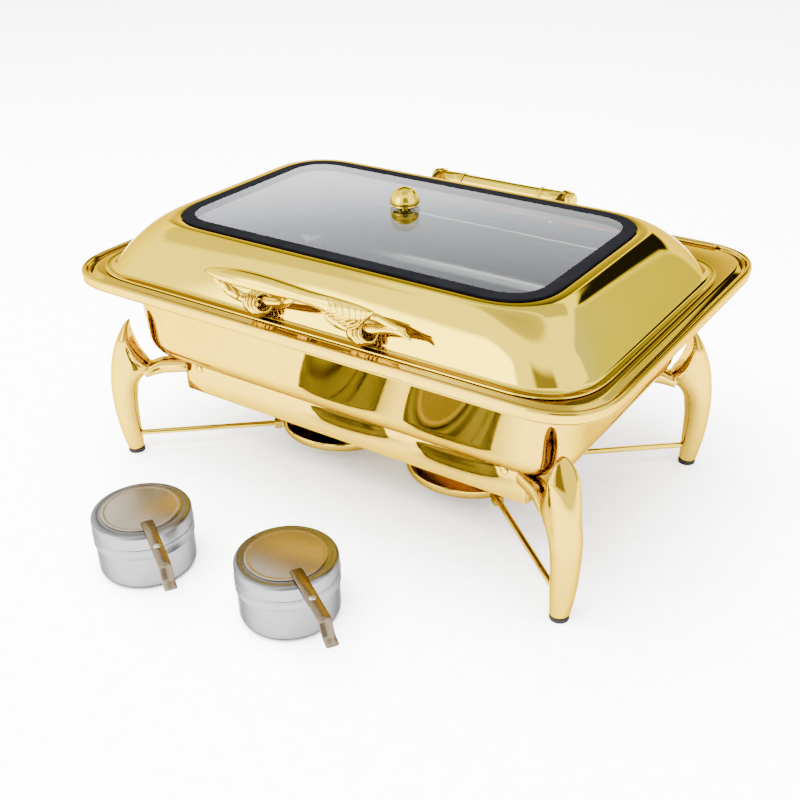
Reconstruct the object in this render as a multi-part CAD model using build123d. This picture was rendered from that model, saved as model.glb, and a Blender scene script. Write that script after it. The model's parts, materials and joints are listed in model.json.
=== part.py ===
"""Rectangular hinged-lid chafing dish with two round fuel holders, in millimetres.

Frame: the origin is on the floor, in the middle of the whole set, +X runs along the long
front, +Y points to the hinge side, +Z is up.  The lid is closed, the pans are in place and
both fuel holders stand on the floor in front of the dish.  Every part is drawn with the
stand's centre at X 0, Y 0 and moved back by STAND_BACK when it is saved.
"""
from build123d import *
from math import cos, sin, pi, radians
import os

# ---------------------------------------------------------------- driving dimensions
STAND_BACK = 68.22         # distance of the stand's centre behind the origin

# stand
APRON_X = 219.5            # half length of the apron, outside
APRON_Y = 124.7            # half depth of the apron, outside
APRON_BOTTOM = 84.0
APRON_TOP = 123.0
APRON_SHEET = 1.6
APRON_CORNER = 6.0
LEG_DIRECTION = Vector(0.846, 0.533, 0)   # plan direction of a leg, seen from its corner
FOOT_REACH = 67.3          # apron corner to the middle of the foot, along the leg direction
LEG_TIP_REACH = 53.0
LEG_TIP_HEIGHT = 169.5
NOTCH_HEIGHT = 110.0       # where the leg's arm ends and its horn begins
HORN_START = 115.0         # from here up the leg gets narrower
HORN_HALF_WIDTH = 16.3
FOOT_HALF_WIDTH = 9.6
PAD_RADIUS = 9.6
PAD_HEIGHT = 4.5
ROD_RADIUS = 3.2
ROD_HEIGHT = 23.0
ROD_OUTER = Vector(267.0, 152.6, 0)       # where a rod enters its leg, in plan
TRAY_X = 88.0              # middle of a fuel tray, left and right of centre
TRAY_RADIUS = 75.0
TRAY_BOTTOM = 20.0
TRAY_LIP = 11.0
SCREW_X = 194.0
SCREW_HEIGHT = 114.5

# water pan
BASIN_X = 269.0            # half length of the basin at its mouth, outside
BASIN_Y = 158.0
BASIN_CORNER = 48.0
BASIN_BOTTOM = 123.3
BASIN_TAPER = 5.0          # how much each wall leans in towards the bottom
BASIN_BEND = 30.0          # radius between wall and bottom
PAN_SHEET = 1.4
LEDGE_TOP = 234.0          # flat top face of the pan's flange
LEDGE_SHEET = 1.4
RIM_X = 305.0              # inside of the rolled rim
RIM_FRONT = 194.5
RIM_BACK = 232.0
RIM_CORNER = 54.0
RIM_WIDTH = 6.0
RIM_DROP = 12.0
RIDGE_X = 258.0            # half length of the raised ridge along the back edge
RIDGE_Y = 226.5

# food pan
FOOD_RIM_X = 265.0
FOOD_RIM_Y = 162.5
FOOD_MOUTH_X = 254.0
FOOD_MOUTH_Y = 151.0
FOOD_CORNER = 42.0
FOOD_BOTTOM = 170.0
FOOD_TAPER = 7.0
FOOD_SHEET = 1.0
FOOD_RIM_TOP = 237.0

# lid
DOME_X = 281.0             # half size of the dome where it meets its flange
DOME_Y = 176.0
DOME_CORNER = 51.0
CREST_X = 228.5            # half size of the dome's crest
CREST_Y = 137.0
CREST_CORNER = 58.0
DOME_BASE = 234.4
DOME_TOP = 286.4
DOME_SHEET = 1.4
DOME_SPREAD = 1.28         # exponent of the inward run of the dome's section
DOME_RISE = 1.82           # exponent of its rise
FLANGE_OUT = 9.5           # width of the lid's flange outside the dome
GLASS_X = 220.0
GLASS_Y = 128.0
GLASS_CORNER = 50.0
GLASS_THICK = 4.0
GLASS_TOP = 288.0
BAND_WIDTH = 14.0
BAND_THICK = 0.4
WINDOW_INSET = 7.0         # how far the lip under the glass reaches in
KNOB_X = -22.0
KNOB_Y = 35.0
KNOB_RADIUS = 16.0

# lid hinge
HINGE_Y = 208.0
HINGE_Z = 260.0
BARREL_RADIUS = 11.5
BARREL_HALF = 50.0
PIN_RADIUS = 5.0
PIN_PLAY = 0.05
SLEEVE_END = 80.0
ARM_THICK = 5.0
ARM_RING = 13.6
CAP_RADIUS = 12.3
CAP_LENGTH = 8.0

# handle
KNOT_LEFT_X = -48.0
KNOT_RIGHT_X = 74.0
KNOT_Y = -180.0
KNOT_Z = 252.7
KNOT_RADIUS = 11.0
GRIP_Y = -201.0

# fuel holders
HOLDERS = {"left": (-108.4, -306.3), "right": (58.7, -286.8)}
HOLDER_RADIUS = 48.0       # cup wall, outside
HOLDER_LID_RADIUS = 49.0
HOLDER_HEIGHT = 63.7
HOLDER_SHEET = 0.8
CUP_TOP = 50.0
LID_SKIRT = 27.0           # height of the fuel holder lid's skirt
BURNER_HOLE = 30.0
DAMPER_RADIUS = 38.5
DAMPER_THICK = 1.0
STRAP_ANGLE = -32.0        # plan direction of the damper's strap
STRAP_WIDTH = 12.0
STRAP_THICK = 1.4
STRAP_START = 26.0
STRAP_BEND = 100.0
RIVET_REACH = 71.0
RIVET_RADIUS = 3.0

os.makedirs("parts", exist_ok=True)


def save(shape, name):
    """Write one sub-part at its place in the set."""
    export_step(shape.moved(Location((0, STAND_BACK, 0))), f"parts/{name}.step")


def plate(half_x, front, back, corner, z_low, z_high):
    """Prism on a rounded rectangle from -half_x to half_x and from -front to back."""
    width = front + back
    outline = Pos(0, (back - front) / 2, z_low) * RectangleRounded(2 * half_x, width, corner)
    return extrude(outline, z_high - z_low)


def rounded_section(half_x, half_y, corner, z):
    """Horizontal rounded rectangle used as one section of a loft."""
    return Pos(0, 0, z) * RectangleRounded(2 * half_x, 2 * half_y, corner)


def cylinder(x, y, z_low, z_high, radius):
    """Upright cylinder."""
    return Pos(x, y, (z_low + z_high) / 2) * Cylinder(radius, z_high - z_low)


def tube_x(x_low, x_high, radius):
    """Cylinder along X on the hinge axis."""
    body = Rot(0, 90, 0) * Cylinder(radius, x_high - x_low)
    return Pos((x_low + x_high) / 2, HINGE_Y, HINGE_Z) * body


def corners():
    """The four corners of the stand as (name, X sign, Y sign)."""
    for depth, sign_y in (("front", -1), ("back", 1)):
        for side, sign_x in (("left", -1), ("right", 1)):
            yield f"{depth}_{side}", sign_x, sign_y


def to_corner(shape, sign_x, sign_y):
    """Mirror a shape drawn at the +X +Y corner to another corner."""
    if sign_x < 0:
        shape = mirror(shape, Plane.YZ)
    if sign_y < 0:
        shape = mirror(shape, Plane.XZ)
    return shape


# ---------------------------------------------------------------- stand
def make_apron():
    outer = plate(APRON_X, APRON_Y, APRON_Y, APRON_CORNER, APRON_BOTTOM, APRON_TOP)
    inner_x = APRON_X - APRON_SHEET
    inner_y = APRON_Y - APRON_SHEET
    inner = plate(inner_x, inner_y, inner_y, APRON_CORNER - APRON_SHEET, APRON_BOTTOM - 1, APRON_TOP + 1)
    holes = [
        Pos(sx * SCREW_X, sy * APRON_Y, SCREW_HEIGHT) * Rot(90, 0, 0) * Cylinder(2.05, 12)
        for sx in (-1, 1)
        for sy in (-1, 1)
    ]
    return outer - inner - holes


def leg_frame(reach, height):
    """Point of the leg's own plane: reach along the leg direction from the apron corner."""
    return Vector(APRON_X, APRON_Y, 0) + LEG_DIRECTION * reach + Vector(0, 0, height)


def leg_inner(height):
    """Reach of the leg's inner edge at a height."""
    if height <= 75:
        return 58.3 - 1.8 * (height / 75) ** 2
    return 56.5 - 12.5 * ((height - 75) / 35) ** 2


def leg_outer(height):
    """Reach of the leg's outer edge at a height: one long bow from foot to tip."""
    if height <= 82:
        return 84.6 - 9.0 * ((82 - height) / 82) ** 2
    return 84.6 - (84.6 - LEG_TIP_REACH - 0.6) * ((height - 82) / (LEG_TIP_HEIGHT - 82)) ** 2.1


def horn_inner(height):
    """Reach of the horn's hollow inner edge, from the notch above the arm to the tip."""
    run = (height - 110) / (LEG_TIP_HEIGHT - 110)
    return 32.0 + (LEG_TIP_REACH - 32.6) * run ** 0.72


def leg_half_width(height):
    """Half the width of the leg square to its plane."""
    if height <= HORN_START:
        return FOOT_HALF_WIDTH + (HORN_HALF_WIDTH - FOOT_HALF_WIDTH) * (height / HORN_START) ** 0.9
    run = (height - HORN_START) / (LEG_TIP_HEIGHT - HORN_START)
    return HORN_HALF_WIDTH * (1 - run ** 2.6) ** 0.5 + 0.3


def leg_ellipse(low, high, half_width, height):
    """Horizontal elliptical section between two reaches."""
    centre = leg_frame((low + high) / 2, height)
    plane = Plane(origin=centre, x_dir=LEG_DIRECTION, z_dir=(0, 0, 1))
    return plane * Ellipse((high - low) / 2, half_width)


def make_leg():
    """Horn-shaped leg with its side arm, drawn at the +X +Y corner."""
    horn = [
        leg_ellipse(horn_inner(h), leg_outer(h), leg_half_width(h), h)
        for h in (NOTCH_HEIGHT, 125, 140, 152, 162, LEG_TIP_HEIGHT)
    ]
    shin = [
        leg_ellipse(leg_inner(h), leg_outer(h), leg_half_width(h), h)
        for h in (PAD_HEIGHT, 25, 50, 75, 92)
    ]
    shaft = loft(shin + horn[:1]) + loft(horn)
    arm_sections = []
    # reach, half width, half height and height of the arm's sections
    for reach, half_width, half_height, height in (
        (1.2, 9.5, 9.3, 113.2),
        (20, 9.5, 9.3, 112.8),
        (44, 13, 12, 108.0),
    ):
        plane = Plane(origin=leg_frame(reach, height), x_dir=(0, 0, 1), z_dir=LEG_DIRECTION)
        arm_sections.append(plane * Ellipse(half_height, half_width))
    leg = shaft + loft(arm_sections)
    apron_block = plate(APRON_X, APRON_Y, APRON_Y, APRON_CORNER, APRON_BOTTOM, APRON_TOP + 20)
    leg = leg - apron_block
    return leg - make_rod(ROD_RADIUS + 0.02)


def make_pad():
    """Black foot cap under a leg."""
    foot = leg_frame(FOOT_REACH, 0)
    return Pos(foot.X, foot.Y, PAD_HEIGHT / 2) * Cylinder(PAD_RADIUS, PAD_HEIGHT)


def rod_ends():
    """Plan positions of the two ends of the +X +Y rod."""
    start = Vector(ROD_OUTER.X, ROD_OUTER.Y, 0)
    aim = Vector(TRAY_X, 0, 0)
    towards = (aim - start).normalized()
    # the rod stops at the tray's wall
    end = aim - towards * (TRAY_RADIUS + 0.1)
    return start + towards * -5.0, end


def make_rod(radius=ROD_RADIUS):
    start, end = rod_ends()
    run = end - start
    plane = Plane(origin=start + Vector(0, 0, ROD_HEIGHT), z_dir=run.normalized())
    return extrude(plane * Circle(radius), run.length)


def make_rod_clip():
    """Small lug under the tray's edge that holds the rod's inner end."""
    start, end = rod_ends()
    towards = (end - start).normalized()
    origin = end - towards * 9.0 + Vector(0, 0, ROD_HEIGHT)
    plane = Plane(origin=origin, z_dir=towards)
    block = extrude(plane * RectangleRounded(11, 11, 2.5), 8.9)
    block -= make_rod(ROD_RADIUS + 0.02)
    return block - cylinder(TRAY_X, 0, TRAY_BOTTOM - 5, TRAY_BOTTOM + TRAY_LIP, TRAY_RADIUS + 0.02)


def make_tray(x):
    """Shallow dish that takes one fuel holder."""
    top = TRAY_BOTTOM + TRAY_LIP
    dish = cylinder(x, 0, TRAY_BOTTOM, top, TRAY_RADIUS)
    bottom_edge = dish.edges().group_by(Axis.Z)[0]
    dish = fillet(bottom_edge, 4.0)
    hollow = cylinder(x, 0, TRAY_BOTTOM + 1.2, top + 1, TRAY_RADIUS - 1.2)
    hollow = fillet(hollow.edges().group_by(Axis.Z)[0], 3.0)
    return dish - hollow


def make_corner_bracket():
    """Angle plate inside an apron corner that ties the leg's arm to the apron."""
    inner_x = APRON_X - APRON_SHEET - 0.05
    inner_y = APRON_Y - APRON_SHEET - 0.05
    low = SCREW_HEIGHT - 9
    high = SCREW_HEIGHT + 7
    long_leg = Pos(inner_x - 21, inner_y - 1.25, (low + high) / 2) * Box(34, 2.5, high - low)
    short_leg = Pos(inner_x - 1.25, inner_y - 15, (low + high) / 2) * Box(2.5, 22, high - low)
    web = Pos(inner_x - 5, inner_y - 5, (low + high) / 2) * Rot(0, 0, 45) * Box(2.5, 9.5, high - low)
    hole = Pos(SCREW_X, inner_y, SCREW_HEIGHT) * Rot(90, 0, 0) * Cylinder(2.05, 12)
    return long_leg + short_leg + web - hole


def make_screw():
    """Dome-headed screw through the apron and its bracket."""
    head = Sphere(4.6) & (Pos(0, 0, 5) * Box(20, 20, 10))
    head = scale(head, (1, 1, 0.55))
    shank = Pos(0, 0, -3.5) * Cylinder(2.0, 7)
    return Pos(SCREW_X, APRON_Y + 0.02, SCREW_HEIGHT) * Rot(-90, 0, 0) * (head + shank)


# ---------------------------------------------------------------- water pan and its hinge
def basin_solid(inset):
    """Tapered basin block, its walls moved in by inset and its bottom moved up by it."""
    low = BASIN_BOTTOM + inset
    top_x = BASIN_X - inset
    top_y = BASIN_Y - inset
    corner = BASIN_CORNER - inset
    block = loft([
        rounded_section(top_x - BASIN_TAPER, top_y - BASIN_TAPER, corner - BASIN_TAPER / 2, low),
        rounded_section(top_x, top_y, corner, LEDGE_TOP + (1 if inset else 0)),
    ], ruled=True)
    return fillet(block.edges().group_by(Axis.Z)[0], BASIN_BEND - inset)


def make_water_pan():
    ledge_low = LEDGE_TOP - LEDGE_SHEET
    ledge = plate(RIM_X, RIM_FRONT, RIM_BACK, RIM_CORNER, ledge_low, LEDGE_TOP)
    out = RIM_WIDTH
    bead = plate(RIM_X + out, RIM_FRONT + out, RIM_BACK + out, RIM_CORNER + out,
                 LEDGE_TOP + 1.5 - RIM_DROP, LEDGE_TOP + 1.5)
    bead -= plate(RIM_X, RIM_FRONT, RIM_BACK, RIM_CORNER, 0, LEDGE_TOP + 20)
    outer_edges = bead.edges().filter_by(lambda e: e.bounding_box().size.Z < 0.01)
    bead = fillet(outer_edges, 2.4)
    # the groove between ledge and bead is closed by overlapping the two sheets
    joint = plate(RIM_X + 1, RIM_FRONT + 1, RIM_BACK + 1, RIM_CORNER + 1, ledge_low, LEDGE_TOP)
    joint -= plate(RIM_X - 1, RIM_FRONT - 1, RIM_BACK - 1, RIM_CORNER - 1, 0, LEDGE_TOP + 1)
    ridge = Pos(0, RIDGE_Y, LEDGE_TOP) * extrude(SlotOverall(2 * RIDGE_X, 7), 3.2)
    ridge = fillet(ridge.edges().group_by(Axis.Z)[-1], 2.0)
    pan = basin_solid(0) + ledge + joint + bead + ridge
    return pan - basin_solid(PAN_SHEET)


def make_hinge_bracket():
    """Saddle on the back ledge that carries the hinge barrel."""
    low = LEDGE_TOP + 0.02
    base = Pos(0, HINGE_Y, low + 1.25) * Box(96, 30, 2.5)
    base = fillet(base.edges().filter_by(Axis.Z), 6)
    cheek_height = HINGE_Z - low
    cheeks = [
        Pos(x, HINGE_Y, low + cheek_height / 2) * Box(16, 17, cheek_height)
        for x in (-32, 32)
    ]
    barrel_space = tube_x(-BARREL_HALF - 5, BARREL_HALF + 5, BARREL_RADIUS + 0.01)
    bracket = base + cheeks - barrel_space
    for x in (-18, 18):
        for y in (HINGE_Y - 9, HINGE_Y + 9):
            bracket -= cylinder(x, y, low - 1, low + 5, 2.05)
    return bracket


def make_bracket_rivets():
    rivets = []
    for x in (-18, 18):
        for y in (HINGE_Y - 9, HINGE_Y + 9):
            low = LEDGE_TOP + 0.05
            rivets.append(cylinder(x, y, low, low + 2.5, 2.0) + cylinder(x, y, low + 2.5, low + 4.0, 4.0))
    return rivets


def make_barrel():
    """Fixed middle of the hinge: the damper tube."""
    tube = tube_x(-BARREL_HALF, BARREL_HALF, BARREL_RADIUS)
    return tube - tube_x(-BARREL_HALF - 1, BARREL_HALF + 1, PIN_RADIUS + PIN_PLAY)


# ---------------------------------------------------------------- food pan
def food_solid(inset):
    low = FOOD_BOTTOM + inset
    top_x = FOOD_MOUTH_X - inset
    top_y = FOOD_MOUTH_Y - inset
    corner = FOOD_CORNER - inset
    high = FOOD_RIM_TOP + (1 if inset else 0)
    block = loft([
        rounded_section(top_x - FOOD_TAPER, top_y - FOOD_TAPER, corner - FOOD_TAPER / 2, low),
        rounded_section(top_x, top_y, corner, high),
    ], ruled=True)
    return fillet(block.edges().group_by(Axis.Z)[0], 20 - inset)


def make_food_pan():
    rim = plate(FOOD_RIM_X, FOOD_RIM_Y, FOOD_RIM_Y, 46, FOOD_RIM_TOP - 2.6, FOOD_RIM_TOP)
    rim = fillet(rim.edges().group_by(Axis.Z)[-1], 1.2)
    return food_solid(0) + rim - food_solid(FOOD_SHEET)


# ---------------------------------------------------------------- lid
def dome_solid(inset, low, high):
    """Solid dome: its section rises as a power of sine and runs in as a power of cosine."""
    sections = []
    steps = 7
    for i in range(steps + 1):
        angle = pi / 2 * i / steps
        run = 1 - cos(angle) ** DOME_SPREAD if i < steps else 1.0
        rise = sin(angle) ** DOME_RISE
        half_x = DOME_X + (CREST_X - DOME_X) * run - inset
        half_y = DOME_Y + (CREST_Y - DOME_Y) * run - inset
        corner = DOME_CORNER + (CREST_CORNER - DOME_CORNER) * run - inset
        sections.append(rounded_section(half_x, half_y, corner, low + (high - low) * rise))
    return loft(sections)


def make_dome():
    shell = dome_solid(0, DOME_BASE, DOME_TOP)
    out = FLANGE_OUT
    flange = plate(DOME_X + out, DOME_Y + out, DOME_Y + out, DOME_CORNER + out, DOME_BASE, DOME_BASE + 1.4)
    shell += flange
    shell -= dome_solid(DOME_SHEET, DOME_BASE - 0.01, DOME_TOP - 5.0)
    recess = plate(GLASS_X + 0.3, GLASS_Y + 0.3, GLASS_Y + 0.3, GLASS_CORNER + 0.3,
                   GLASS_TOP - GLASS_THICK - 0.02, DOME_TOP + 5)
    window = plate(GLASS_X - WINDOW_INSET, GLASS_Y - WINDOW_INSET, GLASS_Y - WINDOW_INSET,
                   GLASS_CORNER - WINDOW_INSET, DOME_BASE, DOME_TOP + 5)
    return shell - recess - window


def make_glass():
    pane = plate(GLASS_X, GLASS_Y, GLASS_Y, GLASS_CORNER, GLASS_TOP - GLASS_THICK, GLASS_TOP)
    return pane - cylinder(KNOB_X, KNOB_Y, GLASS_TOP - 10, GLASS_TOP + 5, 4.05)


def make_glass_band():
    """Opaque black border on top of the pane."""
    ring = plate(GLASS_X, GLASS_Y, GLASS_Y, GLASS_CORNER, GLASS_TOP + 0.01, GLASS_TOP + BAND_THICK)
    inner_x = GLASS_X - BAND_WIDTH
    inner_y = GLASS_Y - BAND_WIDTH
    return ring - plate(inner_x, inner_y, inner_y, GLASS_CORNER - BAND_WIDTH, GLASS_TOP - 1, GLASS_TOP + 1)


def make_knob():
    """Steam vent knob: a hemisphere on a short collar, with a hole in its crown."""
    base = GLASS_TOP + 0.8
    collar = cylinder(KNOB_X, KNOB_Y, base, base + 3.6, KNOB_RADIUS - 2.0)
    dome = Sphere(KNOB_RADIUS) & (Pos(0, 0, KNOB_RADIUS / 2) * Box(40, 40, KNOB_RADIUS))
    dome = Pos(KNOB_X, KNOB_Y, base + 3.6) * dome
    stem = cylinder(KNOB_X, KNOB_Y, GLASS_TOP - 9, base, 4.0)
    vent = cylinder(KNOB_X, KNOB_Y, base + 8, base + 30, 1.8)
    return collar + dome + stem - vent


def make_knob_washer():
    ring = cylinder(KNOB_X, KNOB_Y, GLASS_TOP + 0.02, GLASS_TOP + 0.78, 13.0)
    return ring - cylinder(KNOB_X, KNOB_Y, GLASS_TOP - 1, GLASS_TOP + 2, 4.05)


def make_knob_nut():
    low = GLASS_TOP - GLASS_THICK - 4.2
    nut = Pos(KNOB_X, KNOB_Y, low) * extrude(RegularPolygon(8, 6), 4.0)
    return nut - cylinder(KNOB_X, KNOB_Y, low - 1, low + 6, 4.02)


def dome_depth(height):
    """Half depth of the dome's outside at a height."""
    rise = (height - DOME_BASE) / (DOME_TOP - DOME_BASE)
    angle_sine = rise ** (1 / DOME_RISE)
    run = 1 - (1 - angle_sine ** 2) ** (DOME_SPREAD / 2)
    return DOME_Y + (CREST_Y - DOME_Y) * run


def make_hinge_arm(sign):
    """Flat arm from the back of the dome to the ring round the hinge pin."""
    x_low = SLEEVE_END + 0.1
    low = 242.0
    high = 262.0
    with BuildPart() as arm:
        with BuildSketch(Plane.YZ.offset(x_low)):
            with BuildLine():
                Polyline(
                    (dome_depth(high) - 1, high),
                    (HINGE_Y - 8, HINGE_Z + ARM_RING - 1.5),
                    (HINGE_Y + 3, HINGE_Z - 2),
                    (HINGE_Y - 6, HINGE_Z - ARM_RING + 1.5),
                    (dome_depth(low) - 1, low),
                    close=True,
                )
            make_face()
            with Locations((HINGE_Y, HINGE_Z)):
                Circle(ARM_RING)
        extrude(amount=ARM_THICK)
    tab = Pos(x_low + 7, (dome_depth(high) + dome_depth(low)) / 2 + 1.2, (low + high) / 2)
    lean = 32.0
    tab = tab * Rot(-lean, 0, 0) * Box(14, 3, 22)
    piece = arm.part + tab
    piece -= dome_solid(-0.05, DOME_BASE, DOME_TOP)
    piece -= tube_x(x_low - 1, x_low + ARM_THICK + 1, PIN_RADIUS + 0.005)
    return piece if sign > 0 else mirror(piece, Plane.YZ)


def make_cap_nuts():
    """Rounded nuts inside the dome's back wall, one behind each hinge arm."""
    nuts = []
    for sign in (-1, 1):
        height = 250.0
        depth = dome_depth(height) - 4.4
        nut = Sphere(4.6) & (Pos(0, 0, 5) * Box(20, 20, 10))
        nuts.append(Pos(sign * (SLEEVE_END + 8), depth, height) * Rot(122, 0, 0) * nut)
    return nuts


def make_pin():
    return tube_x(-SLEEVE_END - ARM_THICK - 2, SLEEVE_END + ARM_THICK + 2, PIN_RADIUS)


def make_sleeve(sign):
    """Outer tube that turns with the lid, between the barrel and an arm."""
    low = BARREL_HALF + 0.6
    sleeve = tube_x(low, SLEEVE_END, BARREL_RADIUS) - tube_x(low - 1, SLEEVE_END + 1, PIN_RADIUS + 0.005)
    groove = tube_x(low + 3, low + 4.5, BARREL_RADIUS + 1) - tube_x(low + 3, low + 4.5, BARREL_RADIUS - 0.8)
    sleeve -= groove
    return sleeve if sign > 0 else mirror(sleeve, Plane.YZ)


def make_hinge_cap(sign):
    """Round cap on the end of the hinge pin."""
    low = SLEEVE_END + ARM_THICK + 0.2
    cap = tube_x(low, low + CAP_LENGTH, CAP_RADIUS)
    cap = fillet(cap.edges().group_by(Axis.X)[-1], 2.5)
    cap -= tube_x(low - 1, SLEEVE_END + ARM_THICK + 2.01, PIN_RADIUS + 0.005)
    return cap if sign > 0 else mirror(cap, Plane.YZ)


def grip_section(x, y, z, half_height, half_depth, lean):
    """Section of the handle's grip, square to a line that leans by an angle in the XZ plane."""
    along = (cos(radians(lean)), 0, sin(radians(lean)))
    return Plane(origin=(x, y, z), x_dir=(0, 1, 0), z_dir=along) * Ellipse(half_depth, half_height)


def make_twig(radius, *points):
    """Round twig along a smooth line."""
    path = Spline(*points)
    return sweep(Plane(origin=path @ 0, z_dir=path % 0) * Circle(radius), path)


def make_handle_grip():
    """Leaf-shaped grip of the cast handle."""
    return loft([
        grip_section(-94, GRIP_Y + 3, 277.5, 0.9, 0.9, 30),
        grip_section(-84, GRIP_Y + 1, 281.5, 3.6, 4.4, 20),
        grip_section(-62, GRIP_Y, 283.6, 7.0, 8.5, 5),
        grip_section(-35, GRIP_Y, 283.2, 7.8, 9.4, -3),
        grip_section(-5, GRIP_Y, 281.6, 6.8, 8.4, -4),
        grip_section(30, GRIP_Y, 279.6, 5.8, 7.0, -4),
        grip_section(54, GRIP_Y + 0.5, 279.8, 8.8, 7.2, -12),
        grip_section(69, GRIP_Y + 4.5, 274.5, 12.0, 7.0, -33),
        grip_section(82, GRIP_Y + 12, 267.5, 14.0, 6.0, -42),
    ])


def make_handle_knots():
    """Round knots on which the handle stands on the dome."""
    return [Pos(x, KNOT_Y, KNOT_Z) * Sphere(KNOT_RADIUS) for x in (KNOT_LEFT_X, KNOT_RIGHT_X)]


def make_handle_twigs():
    """Twigs under the grip: two that tie the left knot to it and one tail on the right."""
    front = GRIP_Y
    back = KNOT_Y
    return [
        make_twig(4.4, (-78, front, 279), (-70, front + 5, 263), (-60, front + 14, 253), (-50, back, 252)),
        make_twig(4.0, (-40, back - 3, 254.5), (-20, back - 8, 260), (-2, front + 3, 269), (12, front, 278)),
        make_twig(3.4, (76, back - 3, 254), (94, back - 6, 259), (112, back - 9, 262), (132, back - 11, 259)),
    ]


# ---------------------------------------------------------------- fuel holders
def make_cup(x, y):
    cup = cylinder(x, y, 0, CUP_TOP, HOLDER_RADIUS)
    cup = fillet(cup.edges().group_by(Axis.Z)[0], 8.0)
    hollow = cylinder(x, y, HOLDER_SHEET, CUP_TOP + 1, HOLDER_RADIUS - HOLDER_SHEET)
    hollow = fillet(hollow.edges().group_by(Axis.Z)[0], 7.2)
    return cup - hollow


def strap_place(x, y, reach, height):
    """Location on the strap's centre line, with local X along the strap."""
    angle = radians(STRAP_ANGLE)
    return Pos(x + reach * cos(angle), y + reach * sin(angle), height) * Rot(0, 0, STRAP_ANGLE)


def make_holder_lid(x, y):
    """Stepped lid with a burner hole and an ear for the damper's rivet."""
    skirt_low = HOLDER_HEIGHT - LID_SKIRT
    lid = cylinder(x, y, skirt_low, HOLDER_HEIGHT, HOLDER_LID_RADIUS)
    lid = fillet(lid.edges().group_by(Axis.Z)[-1], 1.5)
    bead = Pos(x, y, HOLDER_HEIGHT - 16.0) * Torus(HOLDER_LID_RADIUS - 0.4, 1.0)
    lid += bead
    lid -= cylinder(x, y, skirt_low - 1, HOLDER_HEIGHT - HOLDER_SHEET, HOLDER_RADIUS + 0.12)
    lid -= cylinder(x, y, skirt_low - 1, HOLDER_HEIGHT + 1, BURNER_HOLE)
    ear_low = HOLDER_HEIGHT - 3.4
    ear_length = RIVET_REACH + 7 - HOLDER_LID_RADIUS + 3
    middle = HOLDER_LID_RADIUS - 3 + ear_length / 2
    ear = strap_place(x, y, middle, ear_low + 0.75) * Box(ear_length, 10, 1.5)
    ear -= cylinder(x, y, 0, HOLDER_HEIGHT + 1, HOLDER_LID_RADIUS - 0.6)
    lid += ear
    return lid - strap_place(x, y, RIVET_REACH, ear_low) * Cylinder(RIVET_RADIUS / 2 + 0.05, 20)


def make_damper(x, y):
    """Round cover plate with its strap handle, which turn together on the rivet."""
    disc_low = HOLDER_HEIGHT + 0.2
    disc = cylinder(x, y, disc_low, disc_low + DAMPER_THICK, DAMPER_RADIUS)
    strap_low = disc_low + DAMPER_THICK
    length = STRAP_BEND - STRAP_START
    middle = (STRAP_BEND + STRAP_START) / 2
    strap = strap_place(x, y, middle, strap_low + STRAP_THICK / 2) * Box(length, STRAP_WIDTH, STRAP_THICK)
    spacer = strap_place(x, y, RIVET_REACH, 0) * Pos(0, 0, strap_low - 0.35) * Cylinder(4.5, 0.7)
    # side view of the hooked end: along its top and back along its underside
    hook = Polyline(
        (0, STRAP_THICK), (3, 0.6), (9, -10), (13, -13.5), (19, -15.5),
        (18.6, -17), (12, -14.9), (7.8, -11), (1.6, 0), (0, 0),
        close=True,
    )
    hook_face = make_face(Plane.XZ * hook)
    hook_solid = extrude(hook_face, STRAP_WIDTH / 2, both=True)
    hook_solid = strap_place(x, y, STRAP_BEND, strap_low) * hook_solid
    damper = disc + strap + hook_solid + spacer
    return damper - strap_place(x, y, RIVET_REACH, HOLDER_HEIGHT) * Cylinder(RIVET_RADIUS / 2 + 0.05, 20)


def make_rivet(x, y):
    top = HOLDER_HEIGHT + 0.2 + DAMPER_THICK + STRAP_THICK
    low = HOLDER_HEIGHT - 3.4
    shank = cylinder(0, 0, low - 1.2, top + 0.3, RIVET_RADIUS / 2)
    head = Pos(0, 0, top + 0.1) * scale(Sphere(3.4) & (Pos(0, 0, 5) * Box(20, 20, 10)), (1, 1, 0.5))
    tail = cylinder(0, 0, low - 1.2, low - 0.05, 3.0)
    angle = radians(STRAP_ANGLE)
    return Pos(x + RIVET_REACH * cos(angle), y + RIVET_REACH * sin(angle), 0) * (shank + head + tail)


# ---------------------------------------------------------------- write every sub-part
save(make_apron(), "apron")
leg = make_leg()
pad = make_pad()
rod = make_rod()
for name, sign_x, sign_y in corners():
    save(to_corner(leg, sign_x, sign_y), f"leg_{name}")
    save(to_corner(pad, sign_x, sign_y), f"foot_pad_{name}")
    save(to_corner(rod, sign_x, sign_y), f"rod_{name}")
for group, piece in (("rod_clips", make_rod_clip()), ("corner_brackets", make_corner_bracket()),
                     ("apron_screws", make_screw())):
    save(Compound(children=[to_corner(piece, sx, sy) for _, sx, sy in corners()]), group)
save(make_tray(-TRAY_X), "fuel_tray_left")
save(make_tray(TRAY_X), "fuel_tray_right")

save(make_water_pan(), "water_pan")
save(make_hinge_bracket(), "hinge_bracket")
save(Compound(children=make_bracket_rivets()), "bracket_rivets")
save(make_barrel(), "hinge_barrel")

save(make_food_pan(), "food_pan")

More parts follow.
